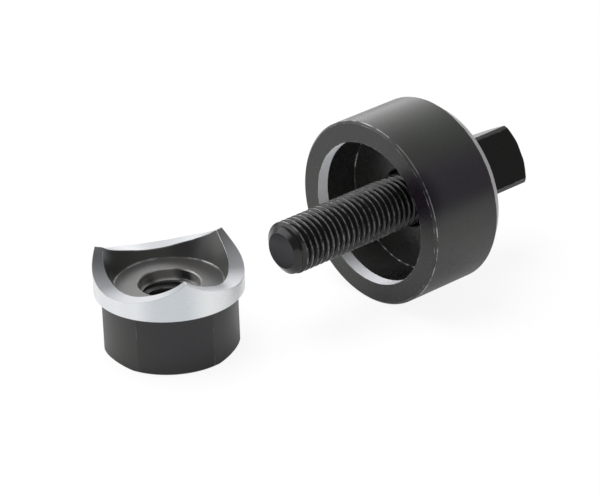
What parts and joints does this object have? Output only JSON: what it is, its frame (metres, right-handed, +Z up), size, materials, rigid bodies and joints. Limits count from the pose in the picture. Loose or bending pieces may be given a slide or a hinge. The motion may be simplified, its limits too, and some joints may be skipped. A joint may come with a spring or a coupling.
{
  "type": "knockout punch",
  "caption": "Knockout punch for round holes in sheet metal: scalloped three-point punch, cup-shaped die and drive screw with square head and thrust ball bearing.",
  "frame": {"origin": "middle of the whole tool's box, on the bench it stands on", "axes": "+X along the drive screw from the die's mouth to the square head, +Z up from the bench"},
  "size_m": [0.1688, 0.0878, 0.07],
  "materials": {
    "black_steel": "black oxide, satin, oiled",
    "punch_steel": "ground cutting ring, black oxide body and bowl",
    "bearing_steel": "hardened and ground",
    "cage_steel": "pressed, satin"
  },
  "bodies": {
    "bench_pieces": {"die": "black_steel", "punch": "punch_steel"},
    "bearing_seat": {"bearing_housing_washer": "bearing_steel"},
    "drive_screw": {"drive_screw": "black_steel", "bearing_shaft_washer": "bearing_steel"},
    "ball_set": {"bearing_cage": "cage_steel", "bearing_ball_01": "bearing_steel", "bearing_ball_02": "bearing_steel", "bearing_ball_03": "bearing_steel", "bearing_ball_04": "bearing_steel", "bearing_ball_05": "bearing_steel", "bearing_ball_06": "bearing_steel", "bearing_ball_07": "bearing_steel", "bearing_ball_08": "bearing_steel", "bearing_ball_09": "bearing_steel", "bearing_ball_10": "bearing_steel", "bearing_ball_11": "bearing_steel", "bearing_ball_12": "bearing_steel", "bearing_ball_13": "bearing_steel", "bearing_ball_14": "bearing_steel"}
  },
  "joints": [
    {"name": "screw_slide", "type": "slide", "parent": "bench_pieces", "child": "bearing_seat", "axis": [1, 0, 0], "range_m": [0, 0.04]},
    {"name": "screw_turn", "type": "hinge", "parent": "bearing_seat", "child": "drive_screw", "pos_m": [0.05593, -0.00893, 0.035], "axis": [1, 0, 0], "continuous": true},
    {"name": "ball_set_turn", "type": "hinge", "parent": "bearing_seat", "child": "ball_set", "pos_m": [0.05593, -0.00893, 0.035], "axis": [1, 0, 0], "continuous": true}
  ],
  "couplings": [
    {"joint": "ball_set_turn", "follows": "screw_turn", "ratio": 0.5}
  ]
}
